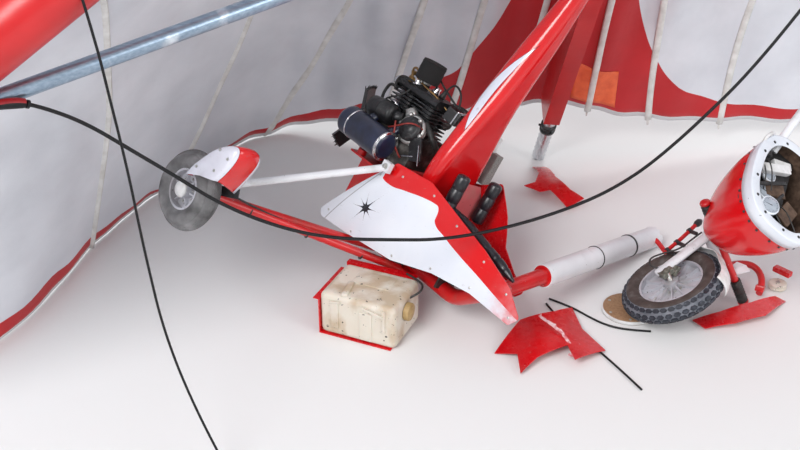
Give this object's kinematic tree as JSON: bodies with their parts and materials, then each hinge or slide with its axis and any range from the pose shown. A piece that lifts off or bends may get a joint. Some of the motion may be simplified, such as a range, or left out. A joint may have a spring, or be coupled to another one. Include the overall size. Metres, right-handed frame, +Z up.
{
  "type": "microlight aircraft",
  "caption": "Crashed two-seat weight-shift microlight with a broken trike and a fabric flex wing leaning on its mast.",
  "frame": {"origin": "on the ground under the middle of the wreck's bounding box", "axes": "+X along the span of the leaning wing, towards its right tip; +Z up; +Y from the trike towards the wing"},
  "size_m": [8.3094, 2.9654, 3.0096],
  "materials": {
    "bare_aluminium": "satin",
    "black_rubber": "matte",
    "black_vinyl": "satin",
    "blue_crossbar": "satin",
    "cable_black": "satin",
    "cream_tank": "matte",
    "dark_composite": "matte",
    "engine_black": "satin",
    "engine_castings": "rough",
    "grey_rim": "satin",
    "navy_exhaust": "satin",
    "ochre_cap": "matte",
    "pink_shell": "satin",
    "red_paint": "gloss",
    "red_sailcloth": "satin",
    "red_shell": "gloss",
    "tan_disc": "matte",
    "tyre_rubber": "matte",
    "white_paint": "gloss",
    "white_sailcloth": "matte",
    "white_shell": "gloss"
  },
  "bodies": {
    "root": {"keel_tube": "bare_aluminium", "leading_edge_pocket_left": "red_sailcloth", "leading_edge_pocket_right": "red_sailcloth", "leading_edge_tubes": "bare_aluminium", "nose_plates": "bare_aluminium", "crossbars": "blue_crossbar", "sail_left": "white_sailcloth", "sail_right": "white_sailcloth", "keel_pocket": "red_sailcloth", "hang_block": "bare_aluminium", "mast": "red_paint", "control_bar": "white_paint", "base_tube": "red_paint", "front_socket": "red_paint", "front_tube": "white_paint", "mast_cowling": "red_shell", "fairing_stays": "red_paint", "side_fairing_right": "white_shell", "seat_pan": "dark_composite", "seat_back": "pink_shell", "seat_cushion": "black_vinyl", "seat_bolsters": "black_vinyl", "engine_mount": "red_paint", "crankcase": "engine_castings", "cylinders": "engine_black", "cylinder_head": "engine_castings", "exhaust": "navy_exhaust", "carburettors": "engine_castings", "air_filter": "black_rubber", "radiator": "bare_aluminium", "coolant_bottle": "white_shell", "leg_right": "red_paint", "lift_strut_right": "white_paint", "spat_right": "white_shell", "side_fairing_left": "red_shell", "leg_left": "red_paint", "front_fork": "white_paint", "foot_bar": "red_paint", "foot_pegs": "black_rubber", "pod_shell": "red_shell", "pod_trim": "white_shell", "instrument_panel": "dark_composite", "fuel_tank": "cream_tank", "tank_cap": "ochre_cap", "tank_tray": "red_shell", "shell_fragments": "red_shell", "loose_disc": "tan_disc", "cable_long": "cable_black", "cable_hanging": "cable_black", "control_cable_front": "cable_black", "control_cable_side": "cable_black"},
    "front_wheel": {"front_tyre": "tyre_rubber", "front_rim": "grey_rim"},
    "right_wheel": {"rear_tyre_right": "tyre_rubber", "rear_rim_right": "grey_rim"},
    "left_wheel": {"rear_tyre_left": "tyre_rubber", "rear_rim_left": "grey_rim"},
    "propeller": {"propeller": "dark_composite"}
  },
  "joints": [
    {"name": "front_wheel_spin", "type": "hinge", "parent": "root", "child": "front_wheel", "pos_m": [-0.16734, -0.14272, 0.12802], "axis": [0.4262, -0.0234, -0.9043], "continuous": true},
    {"name": "right_wheel_spin", "type": "hinge", "parent": "root", "child": "right_wheel", "pos_m": [-1.95703, -0.23525, 0.59578], "axis": [0.637, 0.5995, -0.4846], "continuous": true},
    {"name": "left_wheel_spin", "type": "hinge", "parent": "root", "child": "left_wheel", "pos_m": [-0.96135, 0.57927, 0.06322], "axis": [-0.0895, 0.1066, -0.9903], "continuous": true},
    {"name": "propeller_spin", "type": "hinge", "parent": "root", "child": "propeller", "pos_m": [-1.36135, 0.50504, 0.52611], "axis": [0.6205, -0.7718, -0.1392], "continuous": true}
  ]
}
